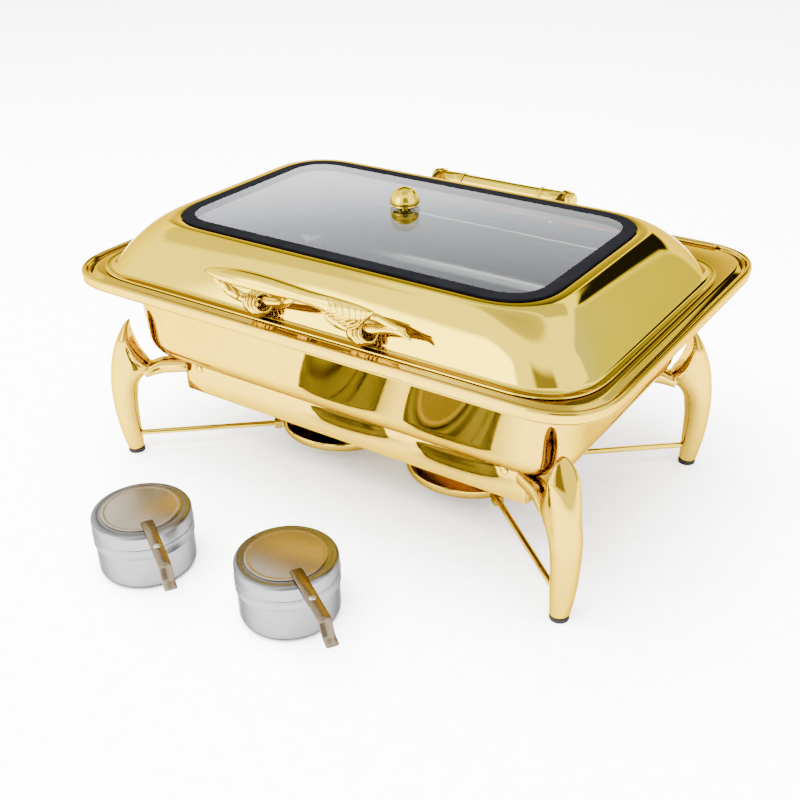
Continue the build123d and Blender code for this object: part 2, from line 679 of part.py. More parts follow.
save(make_dome(), "lid_dome")
save(make_glass(), "lid_glass")
save(make_glass_band(), "glass_band")
save(make_knob(), "vent_knob")
save(make_knob_washer(), "knob_washer")
save(make_knob_nut(), "knob_nut")
save(make_handle_grip(), "handle_grip")
save(Compound(children=make_handle_knots()), "handle_knots")
save(Compound(children=make_handle_twigs()), "handle_twigs")
save(make_pin(), "hinge_pin")
save(Compound(children=make_cap_nuts()), "arm_cap_nuts")
for side, sign in (("left", -1), ("right", 1)):
    save(make_hinge_arm(sign), f"hinge_arm_{side}")
    save(make_sleeve(sign), f"hinge_sleeve_{side}")
    save(make_hinge_cap(sign), f"hinge_cap_{side}")

for side, (x, y) in HOLDERS.items():
    save(make_cup(x, y), f"fuel_cup_{side}")
    save(make_holder_lid(x, y), f"fuel_lid_{side}")
    save(make_damper(x, y), f"damper_{side}")
    save(make_rivet(x, y), f"damper_rivet_{side}")
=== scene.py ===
"""Looks of the hinged-lid chafing dish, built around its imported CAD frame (metres, +Z up)."""
import json
from math import cos, pi, radians, sin

import bmesh
import bpy
import numpy as np
from mathutils import Matrix, Vector


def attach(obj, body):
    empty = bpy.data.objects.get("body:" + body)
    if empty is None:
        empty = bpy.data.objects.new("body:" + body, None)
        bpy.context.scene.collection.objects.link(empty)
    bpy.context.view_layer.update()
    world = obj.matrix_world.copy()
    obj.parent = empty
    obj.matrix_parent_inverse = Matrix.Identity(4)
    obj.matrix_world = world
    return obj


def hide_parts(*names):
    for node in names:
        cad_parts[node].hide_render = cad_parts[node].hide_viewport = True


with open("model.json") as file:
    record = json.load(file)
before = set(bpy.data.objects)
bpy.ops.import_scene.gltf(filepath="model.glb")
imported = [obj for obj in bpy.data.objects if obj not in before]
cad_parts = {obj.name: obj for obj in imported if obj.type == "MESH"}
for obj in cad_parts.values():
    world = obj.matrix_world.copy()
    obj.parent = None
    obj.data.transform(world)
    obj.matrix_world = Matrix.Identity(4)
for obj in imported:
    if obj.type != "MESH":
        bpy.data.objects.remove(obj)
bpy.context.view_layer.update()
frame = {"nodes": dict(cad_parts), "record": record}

MM = 0.001
# pieces are drawn with the stand's centre at X 0, Y 0 and moved back when they are placed
STAND_BACK = 0.06822


# ---------------------------------------------------------------- mesh helpers
def link(obj):
    """Put an object in the scene."""
    bpy.context.scene.collection.objects.link(obj)
    return obj


def make_mesh(name, vertices, faces, sharp=38.0):
    """Smooth-shaded mesh object with hard edges where two faces meet above an angle."""
    mesh = bpy.data.meshes.new(name)
    mesh.from_pydata([tuple(v) for v in vertices], [], faces)
    mesh.validate()
    work = bmesh.new()
    work.from_mesh(mesh)
    bmesh.ops.recalc_face_normals(work, faces=work.faces)
    work.to_mesh(mesh)
    work.free()
    mesh.shade_smooth()
    mesh.set_sharp_from_angle(angle=radians(sharp))
    return link(bpy.data.objects.new(name, mesh))


def skin(name, loops, cap_start=False, cap_end=False, wrap=False, sharp=38.0):
    """Surface through closed loops that all have the same number of points."""
    count = len(loops[0])
    vertices = [p for loop in loops for p in loop]
    faces = []
    pairs = list(zip(range(len(loops) - 1), range(1, len(loops))))
    if wrap:
        pairs.append((len(loops) - 1, 0))
    for a, b in pairs:
        for i in range(count):
            j = (i + 1) % count
            faces.append((a * count + i, a * count + j, b * count + j, b * count + i))
    if cap_start:
        faces.append(tuple(reversed(range(count))))
    if cap_end:
        last = (len(loops) - 1) * count
        faces.append(tuple(last + i for i in range(count)))
    return make_mesh(name, vertices, faces, sharp)


CORNER_REACH = 1.25
CORNER_POWER = 2.6


def rounded_loop(half_x, front, back, corner, z, per_corner=20):
    """Rounded rectangle in millimetres, given back in metres; front and back are distances.

    Its corners are superellipses, so that reflections run smoothly from a side into a corner.
    """
    points = []
    power = 1.0
    if corner * CORNER_REACH < min(half_x, (front + back) / 2):
        corner *= CORNER_REACH
        power = 2 / CORNER_POWER
    for centre_x, centre_y, start in (
        (half_x - corner, back - corner, 0),
        (-half_x + corner, back - corner, 90),
        (-half_x + corner, -front + corner, 180),
        (half_x - corner, -front + corner, 270),
    ):
        for i in range(per_corner + 1):
            angle = radians(start + 90 * i / per_corner)
            run = abs(cos(angle)) ** power * (1 if cos(angle) > 0 else -1)
            rise = abs(sin(angle)) ** power * (1 if sin(angle) > 0 else -1)
            points.append(Vector((centre_x + corner * run, centre_y + corner * rise, z)) * MM)
    return points


def lathe(name, profile, centre=(0, 0), steps=96, sharp=38.0, cap_start=True, cap_end=True):
    """Surface of revolution about an upright axis through centre; profile is (radius, z) in mm."""
    loops = []
    for radius, z in profile:
        ring = []
        for i in range(steps):
            angle = 2 * pi * i / steps
            x = centre[0] + radius * cos(angle)
            y = centre[1] + radius * sin(angle)
            ring.append(Vector((x * MM, y * MM, z * MM)))
        loops.append(ring)
    return skin(name, loops, cap_start, cap_end, sharp=sharp)


# ---------------------------------------------------------------- materials
def new_material(name):
    """Material with one Principled shader: the material, its node tree and the shader."""
    material = bpy.data.materials.new(name)
    material.use_nodes = True
    nodes = material.node_tree.nodes
    nodes.clear()
    output = nodes.new("ShaderNodeOutputMaterial")
    shader = nodes.new("ShaderNodeBsdfPrincipled")
    material.node_tree.links.new(shader.outputs[0], output.inputs[0])
    return material, material.node_tree, shader


def add_noise(tree, scale, detail=3.0, stretch=None):
    """Object-space noise; stretch squeezes it along the axes to make brushing."""
    coordinates = tree.nodes.new("ShaderNodeTexCoord")
    source = coordinates.outputs["Object"]
    if stretch:
        mapping = tree.nodes.new("ShaderNodeMapping")
        mapping.inputs["Scale"].default_value = stretch
        tree.links.new(source, mapping.inputs["Vector"])
        source = mapping.outputs["Vector"]
    noise = tree.nodes.new("ShaderNodeTexNoise")
    noise.inputs["Scale"].default_value = scale
    noise.inputs["Detail"].default_value = detail
    tree.links.new(source, noise.inputs["Vector"])
    return noise.outputs["Fac"]


def add_range(tree, value, low, high):
    """Stretch the middle of a noise value over the range from low to high."""
    mapped = tree.nodes.new("ShaderNodeMapRange")
    mapped.inputs["From Min"].default_value = 0.3
    mapped.inputs["From Max"].default_value = 0.7
    mapped.inputs["To Min"].default_value = low
    mapped.inputs["To Max"].default_value = high
    tree.links.new(value, mapped.inputs["Value"])
    return mapped.outputs["Result"]


def add_bump(tree, shader, height, strength, distance):
    """Fine relief from a height value; distance in metres."""
    bump = tree.nodes.new("ShaderNodeBump")
    bump.inputs["Strength"].default_value = strength
    bump.inputs["Distance"].default_value = distance
    tree.links.new(height, bump.inputs["Height"])
    tree.links.new(bump.outputs["Normal"], shader.inputs["Normal"])


def add_tint(tree, shader, value, colour_a, colour_b):
    """Base colour that drifts between two colours with a value."""
    mix = tree.nodes.new("ShaderNodeMix")
    mix.data_type = "RGBA"
    mix.inputs["A"].default_value = (*colour_a, 1)
    mix.inputs["B"].default_value = (*colour_b, 1)
    tree.links.new(value, mix.inputs["Factor"])
    tree.links.new(mix.outputs["Result"], shader.inputs["Base Color"])


def gold_material(name, light, deep, gloss_low, gloss_high, wave=0.0, cast=0.0):
    """Gold-tone mirror plating: slow colour drift, uneven polish and faint panel waves."""
    material, tree, shader = new_material(name)
    shader.inputs["Metallic"].default_value = 1.0
    shader.inputs["Specular Tint"].default_value = (0.6, 0.48, 0.15, 1)
    drift = add_noise(tree, 6.0, 2.0)
    add_tint(tree, shader, add_range(tree, drift, 0.0, 1.0), light, deep)
    polish = add_noise(tree, 90.0, 4.0)
    tree.links.new(add_range(tree, polish, gloss_low, gloss_high), shader.inputs["Roughness"])
    if cast:
        add_bump(tree, shader, add_noise(tree, 260.0, 3.0), cast, 0.0006)
    elif wave:
        add_bump(tree, shader, add_noise(tree, 7.0, 1.0), wave, 0.002)
    return material


def steel_material(name, colour, gloss_low, gloss_high, stretch, scale, depth):
    """Stainless steel with fine brushing along one direction."""
    material, tree, shader = new_material(name)
    shader.inputs["Metallic"].default_value = 1.0
    shader.inputs["Specular Tint"].default_value = (0.3, 0.3, 0.3, 1)
    grain = add_noise(tree, scale, 4.0, stretch)
    darker = tuple(c * 0.82 for c in colour)
    add_tint(tree, shader, add_range(tree, grain, 0.0, 1.0), darker, colour)
    tree.links.new(add_range(tree, grain, gloss_low, gloss_high), shader.inputs["Roughness"])
    add_bump(tree, shader, grain, depth, 0.0003)
    return material


def plain_material(name, colour, low, high, scale, depth, gloss=0.5):
    """Non-metal surface with fine texture in its gloss and relief."""
    material, tree, shader = new_material(name)
    shader.inputs["Specular IOR Level"].default_value = gloss
    grain = add_noise(tree, scale, 4.0)
    lighter = tuple(min(1.0, c * 1.25 + 0.0004) for c in colour)
    add_tint(tree, shader, add_range(tree, grain, 0.0, 1.0), colour, lighter)
    tree.links.new(add_range(tree, grain, low, high), shader.inputs["Roughness"])
    add_bump(tree, shader, grain, depth, 0.0002)
    return material


def glass_material():
    """Thin clear pane: see-through with a Fresnel reflection and faint smudges."""
    material = bpy.data.materials.new("clear_glass")
    material.use_nodes = True
    tree = material.node_tree
    nodes = tree.nodes
    nodes.clear()
    output = nodes.new("ShaderNodeOutputMaterial")
    mix_shader = nodes.new("ShaderNodeMixShader")
    clear = nodes.new("ShaderNodeBsdfTransparent")
    clear.inputs["Color"].default_value = (0.97, 0.98, 0.975, 1)
    mirror = nodes.new("ShaderNodeBsdfGlossy")
    mirror.inputs["Color"].default_value = (0.97, 0.98, 1.0, 1)
    # Schlick's reflectance, alike on both faces of the pane
    facing = nodes.new("ShaderNodeLayerWeight")
    facing.inputs["Blend"].default_value = 0.5
    steep = nodes.new("ShaderNodeMath")
    steep.operation = "POWER"
    steep.inputs[1].default_value = 5.0
    reflectance = nodes.new("ShaderNodeMath")
    reflectance.operation = "MULTIPLY_ADD"
    reflectance.inputs[1].default_value = 0.9
    reflectance.inputs[2].default_value = 0.04
    tree.links.new(facing.outputs["Facing"], steep.inputs[0])
    tree.links.new(steep.outputs[0], reflectance.inputs[0])
    tree.links.new(add_range(tree, add_noise(tree, 25.0, 4.0), 0.02, 0.035), mirror.inputs["Roughness"])
    tree.links.new(reflectance.outputs[0], mix_shader.inputs[0])
    tree.links.new(clear.outputs[0], mix_shader.inputs[1])
    tree.links.new(mirror.outputs[0], mix_shader.inputs[2])
    tree.links.new(mix_shader.outputs[0], output.inputs[0])
    return material


# the plating's two shades drift into each other; the stand and the water pan get a warmer and darker copy
# of the lid's gold: painted shade on the lower parts
GOLD_LIGHT = (0.45, 0.322, 0.018)
GOLD_DEEP = (0.4, 0.275, 0.012)
SHADED_WARM_LIGHT = (0.35, 0.232, 0.017)
SHADED_WARM_DEEP = (0.31, 0.198, 0.011)
SHADED_WARM_PARTS = ("pan_shell", "pan_ridge", "apron_sheet", "tray_dish_left", "tray_dish_right",
              "rods", "rod_clips", "corner_brackets")
LOOKS = {
    "gold": gold_material("gold_sheet", GOLD_LIGHT, GOLD_DEEP, 0.02, 0.045, wave=0.03),
    # painted shade: the stand's copies of the gold are darker than the lid's
    "gold_shaded_warm": gold_material("gold_shaded_warm_sheet", SHADED_WARM_LIGHT, SHADED_WARM_DEEP, 0.025, 0.05, wave=0.03),
    "gold_leg": gold_material("gold_leg", SHADED_WARM_LIGHT, SHADED_WARM_DEEP, 0.05, 0.09),
    "gold_small": gold_material("gold_fittings", GOLD_LIGHT, GOLD_DEEP, 0.06, 0.12),
    "gold_cast": gold_material("gold_casting", GOLD_LIGHT, GOLD_DEEP, 0.08, 0.14, cast=0.05),
    "foot_rubber": plain_material("foot_rubber", (0.012, 0.012, 0.013), 0.45, 0.65, 700.0, 0.3,
                                  gloss=0.02),
    "steel_pan": steel_material("steel_pan", (0.11, 0.11, 0.108), 0.2, 0.28, (1, 14, 14), 60.0, 0.03),
    "steel_satin": steel_material("steel_satin", (0.14, 0.14, 0.142), 0.27, 0.32, (1, 1, 40), 45.0,
                                  0.012),
    "steel_damper": steel_material("steel_damper", (0.26, 0.225, 0.17), 0.31, 0.34, (30, 3, 1), 40.0,
                                   0.002),
    "strap": steel_material("strap_steel", (0.15, 0.12, 0.078), 0.27, 0.3, (1, 1, 1), 500.0, 0.001),
    "steel_fastener": steel_material("steel_fastener", (0.34, 0.34, 0.33), 0.12, 0.2, (1, 1, 1), 300.0,
                                     0.05),
    "clear_glass": glass_material(),
    "black_band": plain_material("black_enamel", (0.002, 0.002, 0.0024), 0.08, 0.16, 40.0, 0.01,
                                 gloss=0.0),
}


def dress(obj, slot):
    """Give an object one of the LOOKS as its only material."""
    obj.data.materials.clear()
    obj.data.materials.append(LOOKS[slot])
    return obj


def place(obj, slot, body, *replaced):
    """Finish a new piece: its place, material, the body it rides on and the CAD nodes it stands for."""
    obj.data.transform(Matrix.Translation((0, STAND_BACK, 0)))
    # painted shade: parts of the stand and the water pan get the darker copy of the gold
    dress(obj, "gold_shaded_warm" if obj.name in SHADED_WARM_PARTS else slot)
    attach(obj, body)
    if replaced:
        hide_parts(*replaced)
    return obj


slot_of_node = {s["node"]: s["material_slot"] for s in frame["record"]["subparts"]}
for node_name, node in frame["nodes"].items():
    # painted shade: parts of the stand and the water pan get the darker copy of the gold
    dress(node, "gold_shaded_warm" if node_name in SHADED_WARM_PARTS else slot_of_node[node_name])

# ---------------------------------------------------------------- sizes, in millimetres
APRON_X, APRON_Y, APRON_BOTTOM, APRON_TOP, APRON_SHEET, APRON_CORNER = 219.5, 124.7, 84.0, 123.0, 1.6, 6.0
BASIN_X, BASIN_Y, BASIN_CORNER, BASIN_BOTTOM, BASIN_TAPER, BASIN_BEND = 269.0, 158.0, 48.0, 123.3, 5.0, 30.0
PAN_SHEET, FOOD_SHEET = 1.4, 1.0
LIP_BEND = 3.0  # radius from the wall of either pan to its rim
LEDGE_TOP = 234.0
RIM_X, RIM_FRONT, RIM_BACK, RIM_CORNER = 305.0, 194.5, 232.0, 54.0
RIDGE_X, RIDGE_Y, RIDGE_HALF = 258.0, 226.5, 3.5
FOOD_RIM_X, FOOD_RIM_Y, FOOD_RIM_CORNER, FOOD_RIM_TOP = 265.0, 162.5, 46.0, 237.0
FOOD_X, FOOD_Y, FOOD_CORNER, FOOD_BOTTOM, FOOD_TAPER, FOOD_BEND = 254.0, 151.0, 42.0, 170.0, 7.0, 20.0
DOME_X, DOME_Y, DOME_CORNER = 281.0, 176.0, 51.0
CREST_X, CREST_Y, CREST_CORNER = 228.5, 137.0, 58.0
DOME_BASE, DOME_TOP, DOME_SHEET = 234.4, 286.4, 1.4
DOME_SPREAD, DOME_RISE = 1.28, 1.82
DOME_START = 0.24  # radians along the section where the wall leaves the flange
LIP_DEEP = 5.0     # from the crest down to the foot of the lip under the pane
GLASS_X, GLASS_Y, GLASS_CORNER, GLASS_TOP, GLASS_THICK = 220.0, 128.0, 50.0, 288.0, 4.0
BAND_WIDTH = 14.0
KNOB_X, KNOB_Y, KNOB_RADIUS = -22.0, 35.0, 16.0
HINGE_Y, HINGE_Z = 208.0, 260.0
TRAY_X, TRAY_RADIUS, TRAY_BOTTOM, TRAY_LIP = 88.0, 75.0, 20.0, 11.0
HOLDERS = {"left": (-108.4, -306.3), "right": (58.7, -286.8)}
HOLDER_RADIUS, HOLDER_LID_RADIUS, HOLDER_HEIGHT, CUP_TOP = 48.0, 49.0, 63.7, 50.0
LID_SKIRT, BURNER_HOLE, DAMPER_RADIUS, DAMPER_THICK = 27.0, 30.0, 38.5, 1.0
STRAP_ANGLE, STRAP_START, STRAP_BEND = -32.0, 26.0, 100.0
STRAP_WIDTH, STRAP_THICK = 12.0, 1.4


def rect(half_x, half_y, corner, z):
    """Ring of a part that is the same at front and back."""
    return (half_x, half_y, half_y, corner, z)


def grow(ring, by, z=None):
    """The ring moved outwards in its plane, at its own height or another."""
    half_x, front, back, corner, height = ring
    return (half_x + by, front + by, back + by, corner + by, height if z is None else z)


def skin_rings(name, rings, **options):
    return skin(name, [rounded_loop(*ring) for ring in rings], **options)


def trough(half_x, half_y, corner, low, taper, bend, top, steps=10):
    """Rings of a deep drawn pan from the middle of its bottom up to its mouth."""
    rings = []
    for i in range(steps + 1):
        angle = radians(90 * i / steps)
        pull = taper + bend * (1 - sin(angle))
        height = low + bend * (1 - cos(angle))
        rings.append(rect(half_x - pull, half_y - pull, corner - pull + taper / 2, height))
    rings.append(rect(half_x, half_y, corner, top))
    return rings


# ---------------------------------------------------------------- water pan
def make_water_pan():
    """Drawn basin with its ledge, channel and rolled rim, and the ridge along its back ledge."""
    inside = trough(BASIN_X - PAN_SHEET, BASIN_Y - PAN_SHEET, BASIN_CORNER - PAN_SHEET,
                    BASIN_BOTTOM + PAN_SHEET, BASIN_TAPER, BASIN_BEND - PAN_SHEET, LEDGE_TOP - LIP_BEND)
    mouth = inside[-1]
    for i in range(1, 6):
        angle = radians(90 * i / 5)
        inside.append(grow(mouth, LIP_BEND * (1 - cos(angle)),
                           LEDGE_TOP - LIP_BEND + LIP_BEND * sin(angle)))
    rim = (RIM_X, RIM_FRONT, RIM_BACK, RIM_CORNER, LEDGE_TOP)
    # section of the rim from the ledge outwards: sloping channel, groove, rolled bead and hem
    edge = [(-10.6, 0), (-9.4, -0.05), (-8.4, -0.4), (-7.6, -0.95), (-4.2, -3.2), (-3.2, -3.7),
            (-2.2, -3.8), (-1.2, -3.45), (-0.5, -2.6), (-0.1, -1.5), (0.15, -0.6), (0.35, -0.35),
            (0.6, 0.3), (1.1, 0.95), (1.9, 1.4), (2.8, 1.5), (3.8, 1.35), (4.7, 0.9), (5.45, 0.1),
            (5.85, -0.9), (6.0, -2.2), (6.0, -7.9), (5.85, -8.5), (5.35, -8.75), (5.3, -9.0), (5.6, -9.3),
            (5.75, -9.8), (5.5, -10.2), (4.8, -10.45), (3.6, -10.5), (3.4, -9.4), (3.2, -2.0),
            (-9.0, -5.2), (-11.5, -1.6)]
    outside = trough(BASIN_X, BASIN_Y, BASIN_CORNER, BASIN_BOTTOM, BASIN_TAPER, BASIN_BEND, LEDGE_TOP - 5)
    rings = inside + [grow(rim, by, LEDGE_TOP + rise) for by, rise in edge]
    rings.append(grow(outside[-1], 3.4, LEDGE_TOP - 1.5))
    rings.append(grow(outside[-1], 1.0, LEDGE_TOP - 2.4))
    rings += list(reversed(outside))
    pan = skin_rings("pan_shell", rings, cap_start=True, cap_end=True, sharp=50)
    ridge_rings = []
    for inset, rise in ((0, -0.2), (0, 1.2), (0.3, 2.2), (1.0, 2.9), (2.0, 3.2), (3.2, 3.25)):
        ridge_rings.append((RIDGE_X - inset, RIDGE_HALF - inset - RIDGE_Y, RIDGE_Y + RIDGE_HALF - inset,
                            RIDGE_HALF - inset - 0.01, LEDGE_TOP + rise))
    ridge = skin_rings("pan_ridge", ridge_rings, cap_end=True)
    return pan, ridge


water_pan, pan_ridge = make_water_pan()
place(water_pan, "gold", "water_pan", "water_pan")
place(pan_ridge, "gold", "water_pan")


# ---------------------------------------------------------------- food pan
def make_food_pan():
    """Gastronorm insert: drawn tray with a flat rim and a rolled edge."""
    inside = trough(FOOD_X - FOOD_SHEET, FOOD_Y - FOOD_SHEET, FOOD_CORNER - FOOD_SHEET,
                    FOOD_BOTTOM + FOOD_SHEET, FOOD_TAPER, FOOD_BEND - FOOD_SHEET, FOOD_RIM_TOP - LIP_BEND)
    mouth = rect(FOOD_X - FOOD_SHEET, FOOD_Y - FOOD_SHEET, FOOD_CORNER - FOOD_SHEET, 0)
    for i in range(1, 5):
        angle = radians(90 * i / 4)
        inside.append(grow(mouth, LIP_BEND * (1 - cos(angle)),
                           FOOD_RIM_TOP - LIP_BEND + LIP_BEND * sin(angle)))
    rim = rect(FOOD_RIM_X, FOOD_RIM_Y, FOOD_RIM_CORNER, FOOD_RIM_TOP)
    edge = [(-1.6, 0), (-0.8, -0.2), (-0.2, -0.8), (0, -1.5), (-0.2, -2.2), (-0.8, -2.5), (-1.6, -2.2),
            (-1.8, -1.0), (-8.0, -1.0)]
    outside = trough(FOOD_X, FOOD_Y, FOOD_CORNER, FOOD_BOTTOM, FOOD_TAPER, FOOD_BEND,
                     FOOD_RIM_TOP - LIP_BEND)
    rings = inside + [grow(rim, by, FOOD_RIM_TOP + rise) for by, rise in edge] + list(reversed(outside))
    return skin_rings("food_insert", rings, cap_start=True, cap_end=True)


place(make_food_pan(), "steel_pan", "food_pan", "food_pan")


# ---------------------------------------------------------------- lid
def mix(a, b, share):
    """Value between a and b."""
    return a + (b - a) * share


def dome_ring(angle, low, high, inset=0.0):
    """Ring of the dome at a place along its section: 0 at the foot, a quarter turn at the crest."""
    run = 1 - max(cos(angle), 0) ** DOME_SPREAD
    rise = sin(angle) ** DOME_RISE
    return rect(mix(DOME_X, CREST_X, run) - inset, mix(DOME_Y, CREST_Y, run) - inset,
                mix(DOME_CORNER, CREST_CORNER, run) - inset, mix(low, high, rise))


def make_dome(steps=30):
    """Lid cover: flange, domed wall, the lip that holds the pane, and the inner face."""
    foot = rect(DOME_X, DOME_Y, DOME_CORNER, DOME_BASE)
    crest = rect(CREST_X, CREST_Y, CREST_CORNER, DOME_TOP)
    flange = [(-1.4, 0), (8.4, 0), (9.2, 0.25), (9.6, 0.9), (9.4, 1.6), (8.8, 1.95), (8.0, 1.85),
              (7.2, 1.5), (6.2, 1.4), (3.4, 1.4), (1.8, 1.5), (0.6, 1.9), (-0.3, 2.5)]
    rings = [grow(foot, by, DOME_BASE + rise) for by, rise in flange]
    for i in range(steps + 1):
        rings.append(dome_ring(mix(DOME_START, pi / 2, i / steps), DOME_BASE, DOME_TOP))
    lip = [(-3, 0), (-7.2, 0), (-7.8, -0.15), (-8.1, -0.5), (-8.1, -2.42), (-15.2, -2.42), (-15.5, -2.7),
           (-15.5, -4.6), (-15.2, -LIP_DEEP)]
    rings += [grow(crest, by, DOME_TOP + rise) for by, rise in lip]
    for i in range(steps + 1):
        rings.append(dome_ring((pi / 2) * (1 - i / steps), DOME_BASE, DOME_TOP - LIP_DEEP, DOME_SHEET))
    return skin_rings("lid_shell", rings[:-1], wrap=True, sharp=45)


place(make_dome(), "gold", "lid", "lid_dome")

pane = rect(GLASS_X - 0.2, GLASS_Y - 0.2, GLASS_CORNER - 0.2, GLASS_TOP)
pane_edge = [(-1.2, -GLASS_THICK + 0.03), (-1.2, 0)]
glass = skin_rings("window_pane", [grow(pane, by, GLASS_TOP + rise) for by, rise in pane_edge],
                   cap_start=True, cap_end=True)
place(glass, "clear_glass", "lid", "lid_glass")
# the black border is printed on the pane and covers its ground edge
band_edge = [(-1.15, -GLASS_THICK + 0.1), (-0.4, -GLASS_THICK + 0.3), (0, -GLASS_THICK + 0.9), (0, -0.7),
             (-0.3, -0.1), (-0.9, 0.3), (-BAND_WIDTH + 0.3, 0.35), (-BAND_WIDTH, 0.2),
             (-BAND_WIDTH, 0.03), (-1.15, 0.03)]
band = skin_rings("window_border", [grow(pane, by, GLASS_TOP + rise) for by, rise in band_edge],
                  wrap=True)
place(band, "black_band", "lid", "glass_band")


def make_knob():
    """Steam vent knob: a collar and a ball on a stem through the pane."""
    base = GLASS_TOP + 0.8
    centre = base + 3.6
    profile = [(4.0, GLASS_TOP - 8.8), (4.0, base - 0.1), (13.6, base), (14.3, base + 0.3),
               (14.5, base + 0.9), (14.2, base + 1.6), (13.6, base + 1.9), (13.7, base + 2.3),
               (14.9, base + 2.7), (15.8, base + 3.1)]
    for i in range(15):
        angle = radians(83.5 * i / 14)
        profile.append((KNOB_RADIUS * cos(angle), centre + KNOB_RADIUS * sin(angle)))
    profile += [(1.6, centre + KNOB_RADIUS - 0.3), (1.5, centre + KNOB_RADIUS - 6)]
    return lathe("steam_knob", profile, (KNOB_X, KNOB_Y))


place(make_knob(), "gold_small", "lid", "vent_knob")


# ---------------------------------------------------------------- hinge tube
def lathe_x(name, profile, steps=72, sharp=38):
    """Surface of revolution about the hinge axis; profile is (radius, x) in mm."""
    loops = []
    for radius, x in profile:
        ring = []
        for i in range(steps):
            angle = 2 * pi * i / steps
            ring.append(Vector((x * MM, (HINGE_Y + radius * cos(angle)) * MM,
                                (HINGE_Z + radius * sin(angle)) * MM)))
        loops.append(ring)
    return skin(name, loops, True, True, sharp=sharp)


barrel = lathe_x("damper_tube", [(9.0, -50), (10.4, -50), (10.9, -49.5), (10.9, 49.5), (10.4, 50),
                                 (9.0, 50)])
place(barrel, "gold_small", "water_pan", "hinge_barrel")
for side, sign in (("left", -1), ("right", 1)):
    sleeve = [(9.0, 50.6), (12.0, 50.6), (12.4, 51.0), (12.4, 52.6), (12.0, 53.0), (11.5, 53.2),
              (11.3, 53.6), (11.5, 54.2), (11.5, 79.6), (11.2, 80.0), (9.0, 80.0)]
    cap = [(9.0, 85.2), (11.8, 85.2), (12.3, 85.7), (12.3, 90.4), (12.0, 91.6), (11.2, 92.6), (9.9, 93.2),
           (4.0, 93.3)]
    for name, profile in (("hinge_sleeve", sleeve), ("hinge_cap", cap)):
        piece = lathe_x(f"{name}_shell_{side}", [(radius, sign * x) for radius, x in profile])
        place(piece, "gold_small", "lid", f"{name}_{side}")


# ---------------------------------------------------------------- apron and trays
apron_ring = rect(APRON_X, APRON_Y, APRON_CORNER, 0)
apron_edge = [(-APRON_SHEET, APRON_BOTTOM + 0.6), (-1.3, APRON_BOTTOM + 0.1), (-0.8, APRON_BOTTOM),
              (-0.3, APRON_BOTTOM + 0.2), (0, APRON_BOTTOM + 0.8), (0, 100), (0, APRON_TOP - 0.8),
              (-0.3, APRON_TOP - 0.2), (-0.8, APRON_TOP), (-1.3, APRON_TOP - 0.2),
              (-APRON_SHEET, APRON_TOP - 0.8)]
apron = skin_rings("apron_sheet", [grow(apron_ring, by, z) for by, z in apron_edge], wrap=True)
place(apron, "gold", "stand", "apron")
for side, sign in (("left", -1), ("right", 1)):
    low = TRAY_BOTTOM
    profile = [(0.5, low + 1.2), (66, low + 1.2), (70, low + 1.6), (72.8, low + 3.6), (73.6, low + 6),
               (73.7, low + TRAY_LIP - 0.6), (74.1, low + TRAY_LIP), (74.7, low + TRAY_LIP - 0.1),
               (TRAY_RADIUS, low + TRAY_LIP - 0.6), (TRAY_RADIUS, low + 5), (74, low + 2),
               (71.5, low + 0.3), (67, low), (60, low), (58, low + 0.5), (40, low + 0.5), (38, low),
               (0.5, low)]
    tray = lathe(f"tray_dish_{side}", profile, (sign * TRAY_X, 0), steps=128)
    place(tray, "gold", "stand", f"fuel_tray_{side}")


# ---------------------------------------------------------------- legs
def curve_through(knots, values, at):
    """Smooth curve through a few given points."""
    slopes = np.gradient(np.array(values, float), np.array(knots, float))
    i = int(np.clip(np.searchsorted(knots, at) - 1, 0, len(knots) - 2))
    span = knots[i + 1] - knots[i]
    t = min(max((at - knots[i]) / span, 0.0), 1.0)
    return ((2 * t ** 3 - 3 * t ** 2 + 1) * values[i] + (t ** 3 - 2 * t ** 2 + t) * span * slopes[i]
            + (3 * t ** 2 - 2 * t ** 3) * values[i + 1] + (t ** 3 - t ** 2) * span * slopes[i + 1])


# unit vectors outwards along a leg's diagonal and across it
LEG_OUT = Vector((0.846, 0.533, 0))
LEG_SIDE = Vector((-0.533, 0.846, 0))
FOOT_REACH = 67.3  # from the apron's corner to the middle of the foot


def leg_point(reach, side, z):
    """Point beside the +X +Y corner of the apron, along the leg's diagonal."""
    return (Vector((APRON_X, APRON_Y, z)) + LEG_OUT * reach + LEG_SIDE * side) * MM


def merged(name, parts, voxel, smoothing):
    """One blended surface from several closed shells; voxel in millimetres."""
    vertices = []
    faces = []
    for part in parts:
        base = len(vertices)
        vertices += [v.co.copy() for v in part.data.vertices]
        faces += [tuple(base + i for i in p.vertices) for p in part.data.polygons]
        bpy.data.objects.remove(part)
    body = make_mesh(name + "_raw", vertices, faces)
    remesh = body.modifiers.new("blend", "REMESH")
    remesh.mode = "VOXEL"
    remesh.voxel_size = voxel * MM
    smooth = body.modifiers.new("ease", "SMOOTH")
    smooth.factor = 0.5
    smooth.iterations = smoothing
    graph = bpy.context.evaluated_depsgraph_get()
    mesh = bpy.data.meshes.new_from_object(body.evaluated_get(graph))
    bpy.data.objects.remove(body)
    mesh.shade_smooth()
    mesh.name = name
    return mesh


